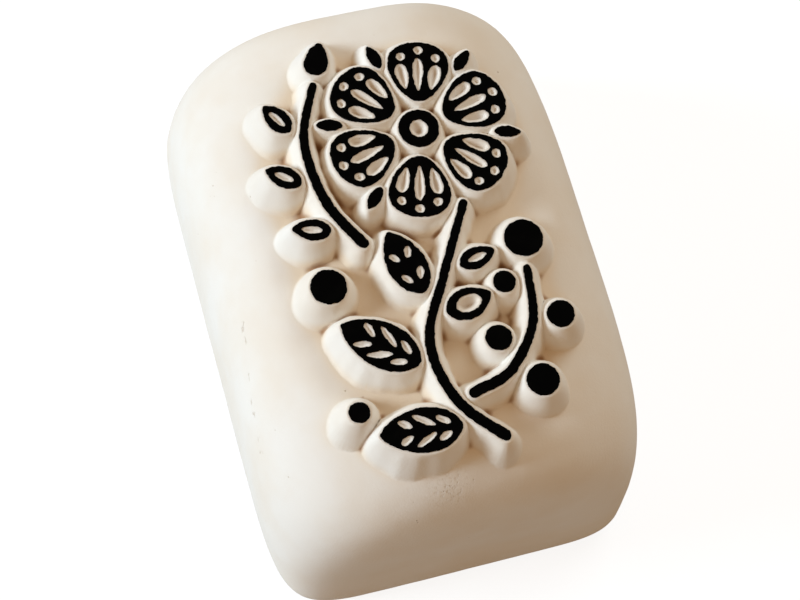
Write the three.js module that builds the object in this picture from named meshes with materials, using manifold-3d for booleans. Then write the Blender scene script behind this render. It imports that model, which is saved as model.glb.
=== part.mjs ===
// Temporary tattoo stamp: a hand-held block of unglazed ceramic whose domed face carries a cast
// relief of a blossom, leaves and berries, with dry black ink on the flat top of each raised land.
// Millimetres. The origin is the centre of the foot, +Z points out of the printing face and +Y
// runs along the stone's length.

import * as THREE from 'three';
import { mergeVertices } from 'three/addons/utils/BufferGeometryUtils.js';
import Module from 'manifold-3d';

const wasm = await Module();
wasm.setup();

// The stone: a rounded block that fits the palm
const stoneWidth = 50; // across, at its widest level
const stoneLength = 70; // along, at its widest level
const crownHeight = 34; // from the foot to the top of the dome
const widestLevel = 9.2; // where the walls end and the dome begins
const footRadius = 2.7; // rounding of the edge round the foot
const sideTuck = 1.0; // how far each long side leans in towards the foot
const endFlare = 0.7; // how far each end leans out towards the foot
const footSquareness = 8.4; // superellipse power of the stone's outline at the foot
const crownSquareness = 2.3; // the same power at the crown, where the outline is nearly an ellipse
const domePowerAcross = 3.2; // power of the dome's curve across the width
const domePowerAlong = 5.3; // and along the length, which is flatter on top

// The shallow hollow that the relief stands in
const hollowDepth = 1.6;
const hollowMargin = 4.2; // from the stone's long side to the hollow's edge
const hollowEndMargin = 3.2; // from the stone's end to the hollow's edge
const hollowPower = 2.6; // superellipse power of the hollow's edge
const hollowRim = 12.0; // width over which the hollow rises to meet the dome

// The lands: raised shapes with one flat printing plane and flanks that swell as they go down
const landRise = 1.25; // the printing plane above the crown
const flankDepth = 8; // from the printing plane to the buried root of a land
const flankRun = 2.4; // how far a flank has spread by then
const flankSteps = 3;
const rootHeight = 1; // upright part of the buried root
const shoulder = 0.2; // bare edge of ceramic left round the ink
const stencilGap = 1.1; // least ink-to-ink gap where a leaf or berry stands beside its stem

// The windows: small drafted pockets through the ink and into the lands
const windowSteepness = 2.1; // depth of a window against half the width of its mouth
const windowDeepest = 1.3;
const windowFloor = 0.4; // size of a pocket's floor against its mouth
const cutterReach = 0.5; // how far the cutting shape stands clear of the printing plane

// The dry ink
const filmThickness = 0.15;

// The motif, drawn at full size for a stone of this length and scaled with the stone
const designLength = 70;
const motifScale = stoneLength / designLength;

// The blossom
const blossomX = 3.6;
const blossomY = 12.2;
const blossomTurn = 15; // degrees that the first petal is turned from the stone's width
const petalCount = 6;
const petalStart = 3.7; // from the blossom's centre to a petal's inner end
const petalLength = 8.1;
const petalWidth = 7.3;
const petalFullness = 0.3; // how much wider a petal is towards its outer end
const veinReach = 5.95; // from a petal's inner end to the outer end of its middle window
const veinLength = 4.6; // the long window along a petal's middle
const veinWidth = 1.25;
const sideVeinReach = 5.05; // the same for the two windows beside it
const sideVeinLength = 3.5;
const sideVeinWidth = 1.5;
const sideVeinOffset = 1.95;
const sideVeinLean = 13; // degrees that a side window leans away from the middle
const veinFullness = 0.35;
const dotDistance = 2.95; // from a petal's middle to the small round window beyond each long one
const dotLength = 1.15;
const dotWidth = 1.25;
const dotSpread = 48; // degrees between neighbouring round windows
const eyeRadius = 2.5;
const eyeWindowRadius = 1.15;
const sepalStart = 9.35; // from the centre to the inner end of a sepal, between two petals
const sepalLength = 3.3;
const sepalWidth = 1.5;

// The stems, each from its root to its tip
const stemWidth = 1.35; // at the root
const stemTipWidth = 0.95;
const mainStemPath = [[2.8, -28.2], [-1.6, -22.6], [-2.7, -14.8], [1.2, -7.2], [6.2, 1.4]];
const berryStemPath = [[0.7, -22.2], [5.7, -20.6], [10.0, -15.4], [11.3, -8.6]];
const sideStemPath = [[-7.1, -0.9], [-10.1, 5.4], [-10.6, 13.6], [-7.7, 20.6]];

// The veined leaves beside the main stem: how far along it, on which side, and how large
const leafLength = 10.4;
const leafWidth = 5.7;
const leafLean = 47; // degrees between a leaf and its stem
const leafPower = 1.35; // 1 is an ellipse, and more draws in both ends
const leafFootFullness = 0.16; // how much wider a leaf is towards its foot
const veinedLeaves = [
  { along: 0.14, side: 1, size: 0.96, slots: 3 },
  { along: 0.38, side: 1, size: 1, slots: 3 },
  { along: 0.62, side: 1, size: 0.84, slots: 2 },
];
const leafRib = 0.75; // ink along the middle of a leaf
const leafRim = 0.75; // ink along its edge
const leafSlotWidth = 0.85; // the slanted windows between its veins, at their widest
const leafSlotFill = 0.8; // most of the room between rib and rim that a window's width may take
const leafSlotLean = 30; // degrees from the rib
const leafSlotsFrom = 0.11; // shares of the leaf's length where its windows begin and end
const leafSlotsTo = 0.8;

// The open leaf, which has one window along its middle in place of veins
const openLeafLength = 6.0;
const openLeafWidth = 3.9;
const openLeafAlong = 0.57; // its place along the main stem
const openLeafSide = -1; // on the right of it
const openingLength = 0.54; // the window's share of the leaf's length
const openingRim = 0.9; // ink on each side of the window

// The small leaves beside the stems, open too
const smallLeafLength = 4.7;
const smallLeafWidth = 2.7;
const smallLeaves = [
  { path: sideStemPath, along: 0.16, side: 1 },
  { path: sideStemPath, along: 0.44, side: 1 },
  { path: sideStemPath, along: 0.72, side: 1 },
  { path: mainStemPath, along: 0.76, side: -1 },
];

// The berries beside and beyond the berry stem, whose tip bears the largest
const berryRadius = 2.4;
const berryLean = 90; // degrees: a berry stands straight out from its stem
const berries = [
  { along: 0.34, side: -1, size: 0.83 },
  { along: 0.44, side: 1, size: 0.67 },
  { along: 0.7, side: -1, size: 0.71 },
  { along: 0.93, side: 1, size: 0.58 },
];

// The bud beyond the tip of the side stem
const budLength = 4.4;
const budWidth = 2.9;
const budFullness = -0.3; // narrower towards its outer end

// The berries that stand alone, beside the two lowest leaves
const looseBerryPlaces = [[-13.2, -21.4], [-12.6, -5.4]];
const looseBerrySizes = [0.54, 0.92]; // against the largest berry

// How finely the round forms are divided
const ringPoints = 60;
const ringCrowding = 3.5; // draws the points of a ring towards the stone's corners
const footSteps = 4;
const wallSteps = 2;
const domeSteps = 16;
const berryPoints = 18;
const petalPoints = 20;
const sepalPoints = 12;
const leafPoints = 18;
const windowPoints = 10;
const stemSteps = 16;
const capSteps = 4;
const weldDistance = 1e-4;

const crown = new THREE.Vector3(0, 0, crownHeight);
const landTop = crownHeight + landRise;

const ceramic = new THREE.MeshStandardMaterial({ color: 0xe9e0d2, roughness: 0.9, metalness: 0 });
const dryInk = new THREE.MeshStandardMaterial({ color: 0x0b0b0b, roughness: 0.75, metalness: 0 });

/** Share of the half width that a superellipse has left at this share of the way up. */
function fullness(rise, power) {
  return Math.pow(Math.max(0, 1 - Math.pow(rise, power)), 1 / power);
}

/** Levels of the rounded edge round the foot. */
function footLevels() {
  return Array.from({ length: footSteps + 1 }, (_, step) => {
    const angle = (step / footSteps) * Math.PI / 2;
    return {
      height: footRadius * (1 - Math.cos(angle)),
      inset: footRadius * (1 - Math.sin(angle)),
      across: 1,
      along: 1,
    };
  });
}

/** Levels of the nearly upright walls above the foot. */
function wallLevels() {
  return Array.from({ length: wallSteps }, (_, step) => ({
    height: THREE.MathUtils.lerp(footRadius, widestLevel, (step + 1) / wallSteps),
    inset: 0,
    across: 1,
    along: 1,
  }));
}

/** Levels of the dome, closer together towards the crown. */
function domeLevels() {
  return Array.from({ length: domeSteps - 1 }, (_, step) => {
    const angle = ((step + 1) / domeSteps) * Math.PI / 2;
    const rise = Math.pow(Math.sin(angle), 2 / domePowerAcross);
    return {
      height: THREE.MathUtils.lerp(widestLevel, crownHeight, rise),
      inset: 0,
      across: fullness(rise, domePowerAcross),
      along: fullness(rise, domePowerAlong),
    };
  });
}

/** Depth of the hollow under a point of the face. */
function hollowAt(x, y) {
  const halfWidth = stoneWidth / 2 - hollowMargin;
  const halfLength = stoneLength / 2 - hollowEndMargin;
  const across = Math.pow(Math.abs(x) / halfWidth, hollowPower);
  const along = Math.pow(Math.abs(y) / halfLength, hollowPower);
  const inside = (1 - Math.pow(across + along, 1 / hollowPower)) * halfWidth;
  return hollowDepth * THREE.MathUtils.smootherstep(inside, 0, hollowRim);
}

/** A point of the stone's skin on this level, at this turn round it. */
function stonePoint(level, turn) {
  const power = THREE.MathUtils.lerp(footSquareness, crownSquareness, level.height / crownHeight);
  const x = Math.sign(Math.cos(turn)) * Math.pow(Math.abs(Math.cos(turn)), 2 / ringCrowding);
  const y = Math.sign(Math.sin(turn)) * Math.pow(Math.abs(Math.sin(turn)), 2 / ringCrowding);
  const radius = Math.pow(Math.pow(Math.abs(x), power) + Math.pow(Math.abs(y), power), -1 / power);
  const below = Math.max(0, 1 - level.height / widestLevel);
  const halfWidth = (stoneWidth / 2) * level.across - sideTuck * below - level.inset;
  const halfLength = (stoneLength / 2) * level.along + endFlare * below - level.inset;
  return new THREE.Vector3(x * radius * halfWidth, y * radius * halfLength, level.height);
}

/** One closed ring of the stone's skin, sunk where the hollow is. */
function stoneRing(level) {
  return Array.from({ length: ringPoints }, (_, index) => {
    const point = stonePoint(level, (index / ringPoints) * 2 * Math.PI);
    if (level.height > widestLevel) point.z -= hollowAt(point.x, point.y);
    return point;
  });
}

/** The closed skin over a pile of rings, with a point at each end. */
function skin(rings, lowEnd, highEnd) {
  const points = [...rings.flat(), lowEnd, highEnd];
  const count = rings[0].length;
  const [low, high] = [points.length - 2, points.length - 1];
  const top = (rings.length - 1) * count;
  const faces = [];
  for (let index = 0; index < count; index += 1) {
    const next = (index + 1) % count;
    faces.push(low, next, index);
    faces.push(top + index, top + next, high);
    for (let row = 0; row < top; row += count) {
      faces.push(row + index, row + next, row + count + index);
      faces.push(row + next, row + count + next, row + count + index);
    }
  }
  return new THREE.BufferGeometry().setFromPoints(points).setIndex(faces);
}

/** The plain domed block, before the relief. */
function stoneBlock() {
  const rings = [...footLevels(), ...wallLevels(), ...domeLevels()].map(stoneRing);
  const sunkCrown = crown.clone();
  sunkCrown.z -= hollowAt(crown.x, crown.y);
  return skin(rings, new THREE.Vector3(0, 0, 0), sunkCrown);
}

/** Turns an outline and moves its origin to a point. */
function place(outline, at, angle) {
  return outline.map((point) => point.clone().rotateAround(new THREE.Vector2(), angle).add(at));
}

/** A circle about the origin. */
function circle(radius, count) {
  return Array.from({ length: count }, (_, index) => {
    const angle = (index / count) * 2 * Math.PI;
    return new THREE.Vector2(radius * Math.cos(angle), radius * Math.sin(angle));
  });
}

/** An egg about the origin, its length along X and its +X end the wider one for a share above 0. */
function egg(length, width, outward, count) {
  return Array.from({ length: count }, (_, index) => {
    const angle = (index / count) * 2 * Math.PI;
    const along = -(length / 2) * Math.cos(angle);
    const across = -(width / 2) * Math.sin(angle) * (1 - outward * Math.cos(angle));
    return new THREE.Vector2(along, across);
  });
}

/** An egg that starts at the origin and runs along +X. */
function eggFromFoot(length, width, outward, count) {
  return place(egg(length, width, outward, count), new THREE.Vector2(length / 2, 0), 0);
}

/** Half the width of a leaf at this share of its length. */
function leafEdge(width, share) {
  const oval = Math.pow(2 * Math.sqrt(share * (1 - share)), leafPower);
  return (width / 2) * oval * (1 + leafFootFullness * (1 - 2 * share));
}

/** A leaf that starts at the origin and runs along +X, narrowing to its tip. */
function leaf(length, width, count) {
  return Array.from({ length: count }, (_, index) => {
    const angle = (index / count) * 2 * Math.PI;
    const share = (1 - Math.cos(angle)) / 2;
    return new THREE.Vector2(length * share, -Math.sign(Math.sin(angle)) * leafEdge(width, share));
  });
}

/** A point on a stem's path, with the direction of growth and the stem's half width there. */
function stemAt(path, along) {
  const curve = new THREE.SplineCurve(path.map(([x, y]) => new THREE.Vector2(x, y)));
  const direction = curve.getTangentAt(along);
  return {
    point: curve.getPointAt(along),
    direction,
    left: new THREE.Vector2(-direction.y, direction.x),
    half: THREE.MathUtils.lerp(stemWidth, stemTipWidth, along) / 2,
  };
}

/** The half circle that ends a stem, turned from one side to the other. */
function stemCap(path, along, from) {
  const { point, direction, half } = stemAt(path, along);
  const angle = direction.angle();
  return Array.from({ length: capSteps - 1 }, (_, step) => {
    const turn = angle + from + ((step + 1) / capSteps) * Math.PI;
    return new THREE.Vector2(point.x + half * Math.cos(turn), point.y + half * Math.sin(turn));
  });
}

/** A stem's outline: its right side, tip, left side and root. */
function stem(path) {
  const side = (direction) => Array.from({ length: stemSteps + 1 }, (_, step) => {
    const share = step / stemSteps;
    const { point, left, half } = stemAt(path, direction > 0 ? 1 - share : share);
    return point.clone().addScaledVector(left, direction * half);
  });
  return [
    ...side(-1), ...stemCap(path, 1, -Math.PI / 2),
    ...side(1), ...stemCap(path, 0, Math.PI / 2),
  ];
}

/** Where a shape stands beside a stem, clear of it by the stencil gap, and how it is turned. */
function beside(path, along, side, lean) {
  const { point, direction, left, half } = stemAt(path, along);
  return {
    at: point.clone().addScaledVector(left, side * (half + stencilGap)),
    angle: direction.angle() + side * lean,
  };
}

/** Where a shape stands beyond a stem's tip. */
function beyond(path) {
  const { point, direction, half } = stemAt(path, 1);
  return {
    at: point.clone().addScaledVector(direction, half + stencilGap),
    angle: direction.angle(),
  };
}

/** One window of a shape: an egg of this size, and where it lies on the shape. */
function windowAt(length, width, outward, x, y, angle) {
  return { length, width, outward, centre: new THREE.Vector2(x, y), angle };
}

/** A window's outline, drawn in by an inset and then scaled about its own centre. */
function windowOutline({ length, width, outward, centre, angle }, inset, scale) {
  const outline = egg(
    scale * (length - 2 * inset), scale * (width - 2 * inset), outward, windowPoints,
  );
  return place(outline, centre, angle);
}

/** The three long windows of a petal that runs along +X from the origin. */
function veinWindows() {
  const lean = THREE.MathUtils.degToRad(sideVeinLean);
  const sideCentre = sideVeinReach - sideVeinLength / 2;
  const sides = [-1, 1].map((side) => windowAt(
    sideVeinLength, sideVeinWidth, veinFullness, sideCentre, side * sideVeinOffset, side * lean,
  ));
  return [windowAt(veinLength, veinWidth, veinFullness, veinReach - veinLength / 2, 0, 0), ...sides];
}

/** The row of small round windows along a petal's outer edge. */
function dotWindows() {
  return [-1, 0, 1].map((place) => {
    const angle = THREE.MathUtils.degToRad(place * dotSpread);
    const along = petalLength / 2 + dotDistance * Math.cos(angle);
    return windowAt(dotLength, dotWidth, 0, along, dotDistance * Math.sin(angle), angle);
  });
}

/** The windows of a leaf that runs along +X: slanted slots that fill each side of its rib. */
function slotWindows(length, width, slots) {
  const lean = THREE.MathUtils.degToRad(leafSlotLean);
  return Array.from({ length: slots }, (_, index) => {
    const share = THREE.MathUtils.lerp(leafSlotsFrom, leafSlotsTo, (index + 1 / 2) / slots);
    const room = leafEdge(width, share) - leafRim - leafRib / 2;
    const slotWidth = Math.min(leafSlotWidth, room * leafSlotFill);
    const reach = Math.sqrt((room ** 2) - (slotWidth * Math.cos(lean)) ** 2) / Math.sin(lean);
    return [-1, 1].map((side) => windowAt(
      reach, slotWidth, 0, length * share, (side * (leafRib + room)) / 2, side * lean,
    ));
  }).flat();
}

/** The one window of an open leaf, along its middle. */
function openWindow(length, width) {
  return windowAt(length * openingLength, width - 2 * openingRim, 0, length / 2, 0, 0);
}

/** One raised shape of the relief, by its ink's outline and windows, scaled to fit the stone. */
function motif(name, outline, windows, at, angle) {
  const onStone = (points) => (
    place(points, at, angle).map((point) => point.multiplyScalar(motifScale))
  );
  return {
    name,
    outline: onStone(outline),
    windows: windows.map((opening) => ({
      ...opening,
      length: opening.length * motifScale,
      width: opening.width * motifScale,
      centre: onStone([opening.centre])[0],
      angle: opening.angle + angle,
    })),
  };
}

/** The petals, evenly round the blossom's centre. */
function petals() {
  const centre = new THREE.Vector2(blossomX, blossomY);
  return Array.from({ length: petalCount }, (_, index) => {
    const angle = THREE.MathUtils.degToRad(blossomTurn + (index * 360) / petalCount);
    const root = new THREE.Vector2(petalStart, 0).rotateAround(new THREE.Vector2(), angle).add(centre);
    const outline = eggFromFoot(petalLength, petalWidth, petalFullness, petalPoints);
    const windows = [...veinWindows(), ...dotWindows()];
    return motif(`ink_petal_${index + 1}`, outline, windows, root, angle);
  });
}

/** The sepals that show between the petals, but for the place where the main stem joins. */
function sepals() {
  const centre = new THREE.Vector2(blossomX, blossomY);
  const outline = leaf(sepalLength, sepalWidth, sepalPoints);
  return Array.from({ length: petalCount - 1 }, (_, index) => {
    const petalsBefore = index - 1 / 2;
    const turn = blossomTurn + (petalsBefore * 360) / petalCount;
    const angle = THREE.MathUtils.degToRad(turn);
    const root = new THREE.Vector2(sepalStart, 0).rotateAround(new THREE.Vector2(), angle).add(centre);
    return motif(`ink_sepal_${index + 1}`, outline, [], root, angle);
  });
}

/** The ring of ink at the blossom's centre. */
function flowerEye() {
  const centre = new THREE.Vector2(blossomX, blossomY);
  const middle = windowAt(2 * eyeWindowRadius, 2 * eyeWindowRadius, 0, 0, 0, 0);
  return motif('ink_flower_eye', circle(eyeRadius, petalPoints), [middle], centre, 0);
}

/** The three stems. */
function stems() {
  const origin = new THREE.Vector2();
  return [
    motif('ink_main_stem', stem(mainStemPath), [], origin, 0),
    motif('ink_berry_stem', stem(berryStemPath), [], origin, 0),
    motif('ink_side_stem', stem(sideStemPath), [], origin, 0),
  ];
}

/** An open leaf beside a stem. */
function openLeaf(name, length, width, path, along, side) {
  const { at, angle } = beside(path, along, side, THREE.MathUtils.degToRad(leafLean));
  return motif(name, leaf(length, width, leafPoints), [openWindow(length, width)], at, angle);
}

/** The leaves beside the main stem: the veined ones, then the open one on its other side. */
function mainLeaves() {
  const lean = THREE.MathUtils.degToRad(leafLean);
  const veined = veinedLeaves.map(({ along, side, size, slots }, index) => {
    const { at, angle } = beside(mainStemPath, along, side, lean);
    const [length, width] = [leafLength * size, leafWidth * size];
    const windows = slotWindows(length, width, slots);
    return motif(`ink_leaf_${index + 1}`, leaf(length, width, leafPoints), windows, at, angle);
  });
  const openName = `ink_leaf_${veined.length + 1}`;
  const open = openLeaf(
    openName, openLeafLength, openLeafWidth, mainStemPath, openLeafAlong, openLeafSide,
  );
  return [...veined, open];
}

/** The small leaves beside the stems. */
function allSmallLeaves() {
  return smallLeaves.map(({ path, along, side }, index) => (
    openLeaf(`ink_small_leaf_${index + 1}`, smallLeafLength, smallLeafWidth, path, along, side)
  ));
}

/** The bud beyond the side stem's tip. */
function bud() {
  const { at, angle } = beyond(sideStemPath);
  const outline = eggFromFoot(budLength, budWidth, budFullness, petalPoints);
  return motif('ink_bud', outline, [], at, angle);
}

/** A round berry whose edge starts at a place beside or beyond a stem. */
function berryFrom({ at, angle }, radius) {
  const out = new THREE.Vector2(radius, 0).rotateAround(new THREE.Vector2(), angle);
  return { centre: at.clone().add(out), radius };
}

/** The round berries beside and beyond the berry stem, and those that stand alone. */
function allBerries() {
  const lean = THREE.MathUtils.degToRad(berryLean);
  const round = [
    ...berries.map(({ along, side, size }) => (
      berryFrom(beside(berryStemPath, along, side, lean), berryRadius * size)
    )),
    berryFrom(beyond(berryStemPath), berryRadius),
    ...looseBerryPlaces.map(([x, y], index) => (
      { centre: new THREE.Vector2(x, y), radius: berryRadius * looseBerrySizes[index] }
    )),
  ];
  return round.map(({ centre, radius }, index) => (
    motif(`ink_berry_${index + 1}`, circle(radius, berryPoints), [], centre, 0)
  ));
}

/** The raised land under one shape, down to its buried root, with swelling flanks. */
function land(outline) {
  return new THREE.ExtrudeGeometry(new THREE.Shape(outline), {
    depth: rootHeight,
    bevelThickness: flankDepth,
    bevelSize: flankRun,
    bevelOffset: shoulder,
    bevelSegments: flankSteps,
  }).translate(0, 0, landTop - flankDepth - rootHeight);
}

/** The cutting shape for one window: a boat with sloping walls, from its floor to its mouth. */
function windowCutter(opening) {
  const mouth = Math.min(opening.length, opening.width) - 2 * shoulder;
  const depth = Math.min(windowDeepest, (windowSteepness * mouth) / 2);
  const slope = (1 - windowFloor) / depth;
  const ring = (height, scale) => windowOutline(opening, shoulder, scale)
    .map((point) => new THREE.Vector3(point.x, point.y, height));
  const end = (height) => new THREE.Vector3(opening.centre.x, opening.centre.y, height);
  const floor = landTop - depth;
  const above = landTop + cutterReach;
  const rings = [ring(floor, windowFloor), ring(above, 1 + slope * cutterReach)];
  return skin(rings, end(floor), end(above));
}

/** The film of dry ink on one land, open at its windows. */
function inkFilm({ outline, windows }) {
  const shape = new THREE.Shape(outline);
  shape.holes = windows.map((opening) => new THREE.Path(windowOutline(opening, 0, 1)));
  return new THREE.ExtrudeGeometry(shape, { depth: filmThickness, bevelEnabled: false })
    .translate(0, 0, landTop);
}

/** A closed geometry as a solid that can be joined and cut. */
function toSolid(geometry) {
  const bare = new THREE.BufferGeometry();
  bare.setAttribute('position', geometry.getAttribute('position'));
  bare.setIndex(geometry.getIndex());
  const merged = mergeVertices(bare, weldDistance);
  return new wasm.Manifold(new wasm.Mesh({
    numProp: 3,
    vertProperties: new Float32Array(merged.getAttribute('position').array),
    triVerts: new Uint32Array(merged.getIndex().array),
  }));
}

/** A solid as a geometry. */
function toGeometry(solid) {
  const { vertProperties, triVerts } = solid.getMesh();
  const geometry = new THREE.BufferGeometry();
  geometry.setAttribute('position', new THREE.BufferAttribute(vertProperties, 3));
  geometry.setIndex(new THREE.BufferAttribute(triVerts, 1));
  geometry.computeVertexNormals();
  return geometry;
}

/** The stone with its relief: the block, joined to every land and cut by every window. */
function stoneBody(motifs) {
  let solid = toSolid(stoneBlock());
  for (const { outline } of motifs) {
    solid = solid.add(toSolid(land(outline)));
  }
  for (const opening of motifs.flatMap(({ windows }) => windows)) {
    solid = solid.subtract(toSolid(windowCutter(opening)));
  }
  return toGeometry(solid);
}

/** A named mesh in the shared frame. */
function piece(name, geometry, material) {
  const mesh = new THREE.Mesh(geometry, material);
  mesh.name = name;
  return mesh;
}

const motifs = [
  ...petals(), ...sepals(), flowerEye(), ...stems(), ...mainLeaves(), ...allSmallLeaves(),
  bud(), ...allBerries(),
];
const stamp = new THREE.Group();
stamp.add(piece('stone_body', stoneBody(motifs), ceramic));
for (const shape of motifs) {
  stamp.add(piece(shape.name, inkFilm(shape), dryInk));
}

export default stamp;
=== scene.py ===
"""Temporary tattoo stamp: a palm-sized block of unglazed ceramic with an inked relief on its dome.

The block and its relief are one fired casting, so they are one fine mesh here. Each film of dried
ink is a piece of its own, traced from its solid in the frame. Shapes are worked out in millimetres
and turned to metres where a mesh is made.
"""

from __future__ import annotations

import logging
import math
from dataclasses import dataclass
from enum import Enum
from typing import Any

import bpy
import numpy as np
from mathutils import Matrix, Vector, noise

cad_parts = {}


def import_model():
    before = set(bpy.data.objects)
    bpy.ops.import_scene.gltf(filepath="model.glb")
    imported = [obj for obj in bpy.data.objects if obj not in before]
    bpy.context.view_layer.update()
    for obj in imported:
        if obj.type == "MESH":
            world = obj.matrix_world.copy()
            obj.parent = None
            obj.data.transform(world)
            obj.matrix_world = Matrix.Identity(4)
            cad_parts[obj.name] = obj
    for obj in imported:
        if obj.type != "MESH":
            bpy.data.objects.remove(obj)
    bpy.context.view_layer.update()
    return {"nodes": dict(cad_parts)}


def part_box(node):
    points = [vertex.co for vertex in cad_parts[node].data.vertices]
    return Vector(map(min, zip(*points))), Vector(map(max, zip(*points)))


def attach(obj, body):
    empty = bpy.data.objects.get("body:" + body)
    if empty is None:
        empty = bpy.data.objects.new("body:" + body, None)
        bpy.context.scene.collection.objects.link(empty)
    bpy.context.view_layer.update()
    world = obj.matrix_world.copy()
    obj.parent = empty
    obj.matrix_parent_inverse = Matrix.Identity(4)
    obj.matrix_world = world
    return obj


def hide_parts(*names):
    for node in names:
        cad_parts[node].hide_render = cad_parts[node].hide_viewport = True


LOG = logging.getLogger("tattoo_stamp")

MM = 0.001  # metres in a millimetre
TINY = 1e-6  # keeps a division away from 0
BODY = "root"  # nothing on the stamp moves, so every piece rides on the one body


class Slot(Enum):
    """Names for the stamp's two materials, which nothing here uses."""

    STONE = "stone"
    INK = "ink"


class InkGroup(Enum):
    """The inked parts of the motif, by the names of their solids without the number."""

    BLOSSOM = ("ink_petal", "ink_sepal", "ink_flower_eye")
    STEMS = ("ink_main_stem", "ink_berry_stem", "ink_side_stem")
    FOLIAGE = ("ink_leaf", "ink_small_leaf", "ink_bud")
    BERRIES = ("ink_berry",)

    def holds(self, node: str) -> bool:
        """Tell whether a solid belongs to this group."""
        return node.rstrip("_0123456789") in self.value


class NoiseLayer(Enum):
    """Offsets that set the uses of the noise apart from each other."""

    INK_EDGE = 2.3
    WAVES = 3.7
    FLANK_RUN = 5.1
    INK_FRINGE = 8.9
    RIPPLES = 11.3
    KNIFE_MARKS = 14.2


# Small tools


def linear(hex_colour: str) -> tuple[float, float, float, float]:
    """Turn an sRGB hex colour into the linear colour that a shader takes.

    Args:
        hex_colour: The colour as "#RRGGBB".

    Returns:
        Red, green, blue and an alpha of 1.
    """
    shares = [int(hex_colour[place:place + 2], 16) / 255 for place in (1, 3, 5)]
    red, green, blue = (
        share / 12.92 if share <= 0.04045 else ((share + 0.055) / 1.055) ** 2.4 for share in shares
    )
    return red, green, blue, 1.0


def smoothstep(value: np.ndarray, low: float, high: float) -> np.ndarray:
    """Rise from 0 at low to 1 at high, with no kink in the slope or the bend."""
    share = np.clip((value - low) / (high - low), 0, 1)
    return share ** 3 * (share * (share * 6 - 15) + 10)


def smooth_max(first: np.ndarray, second: np.ndarray, fillet: float) -> np.ndarray:
    """Take the higher of two heights, blended where they differ by less than a fillet."""
    near = np.clip(fillet - np.abs(first - second), 0, None) / fillet
    return np.maximum(first, second) + near * near * fillet / 4


def perlin(points: np.ndarray, cell: float, layer: NoiseLayer) -> np.ndarray:
    """Sample noise from about -1 to 1 at points, in waves of a cell's size."""
    shift = Vector((layer.value, -layer.value, 2 * layer.value))
    return np.array([noise.noise(Vector(point) / cell + shift) for point in points])


def loop_distance(points: np.ndarray, loop: np.ndarray) -> tuple[np.ndarray, np.ndarray]:
    """Measure points against a closed loop.

    Args:
        points: Places in the plane, two columns.
        loop: The loop's corners in order, two columns.

    Returns:
        The distance to the loop, below 0 inside it, and the nearest place on it.
    """
    batch = 2000
    ends = np.roll(loop, -1, axis=0)
    spans = ends - loop
    rises = np.where(spans[:, 1] == 0, 1, spans[:, 1])
    signed = np.empty(len(points))
    nearest = np.empty((len(points), 2))
    for first in range(0, len(points), batch):
        part = points[first:first + batch, None]
        share = np.clip(((part - loop) * spans).sum(2) / (spans ** 2).sum(1), 0, 1)
        feet = loop + share[..., None] * spans
        squares = ((part - feet) ** 2).sum(2)
        best = squares.argmin(1)
        rows = np.arange(len(best))
        crosses = (loop[:, 1] > part[..., 1]) != (ends[:, 1] > part[..., 1])
        crossing = loop[:, 0] + (part[..., 1] - loop[:, 1]) * spans[:, 0] / rises
        inside = (crosses & (part[..., 0] < crossing)).sum(1) % 2 == 1
        distance = np.sqrt(squares[rows, best])
        signed[first:first + batch] = np.where(inside, -distance, distance)
        nearest[first:first + batch] = feet[rows, best]
    return signed, nearest


def trace_loops(node: bpy.types.Object) -> list[np.ndarray]:
    """Read the edges of a film's flat top, outermost first.

    Args:
        node: The film's solid.

    Returns:
        Closed loops in millimetres: the outline anticlockwise, then its windows clockwise.
    """
    places = np.array([vertex.co for vertex in node.data.vertices]) / MM
    top = places[:, 2].max()
    grain = 1e-3
    keys = [tuple(np.round(place[:2] / grain).astype(int)) for place in places]
    edges = set()
    for polygon in node.data.polygons:
        corners = list(polygon.vertices)
        if all(top - places[corner, 2] < grain for corner in corners):
            edges |= {(keys[a], keys[b]) for a, b in zip(corners, corners[1:] + corners[:1])}
    following = {a: b for a, b in edges if (b, a) not in edges}
    loops = []
    while following:
        corner, after = following.popitem()
        loop = [corner]
        while after != loop[0]:
            loop.append(after)
            after = following.pop(after)
        loops.append(np.array(loop) * grain)
    return sorted(loops, key=lambda loop: -np.ptp(loop, axis=0).max())


def refine(loop: np.ndarray, spacing: float) -> np.ndarray:
    """Draw a smooth closed curve through a loop's corners.

    Args:
        loop: The corners in order.
        spacing: Distance in millimetres between the new points.

    Returns:
        Points evenly spaced along a centripetal Catmull-Rom curve.
    """
    steps, fewest = 24, 8
    before, start, end, after = (np.roll(loop, shift, axis=0) for shift in (1, 0, -1, -2))
    pairs = ((before, start), (start, end), (end, after))
    knots = [np.sqrt(np.linalg.norm(b - a, axis=1)) for a, b in pairs]
    k1, k2, k3 = np.cumsum(knots, axis=0)[..., None]
    dense = []
    for step in range(steps):
        t = k1 + (k2 - k1) * step / steps
        a1 = (k1 - t) / k1 * before + t / k1 * start
        a2 = (k2 - t) / (k2 - k1) * start + (t - k1) / (k2 - k1) * end
        a3 = (k3 - t) / (k3 - k2) * end + (t - k2) / (k3 - k2) * after
        b1 = (k2 - t) / k2 * a1 + t / k2 * a2
        b2 = (k3 - t) / (k3 - k1) * a2 + (t - k1) / (k3 - k1) * a3
        dense.append((k2 - t) / (k2 - k1) * b1 + (t - k1) / (k2 - k1) * b2)
    curve = np.stack(dense, axis=1).reshape(-1, 2)
    closed = np.vstack([curve, curve[:1]])
    travel = np.concatenate([[0], np.linalg.norm(np.diff(closed, axis=0), axis=1).cumsum()])
    stops = np.linspace(0, travel[-1], max(fewest, round(travel[-1] / spacing)), endpoint=False)
    return np.stack([np.interp(stops, travel, closed[:, axis]) for axis in (0, 1)], axis=1)


def link_object(name: str, data: bpy.types.ID) -> bpy.types.Object:
    """Make an object of its data and link it to the scene."""
    made = bpy.data.objects.new(name, data)
    bpy.context.scene.collection.objects.link(made)
    return made


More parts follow.
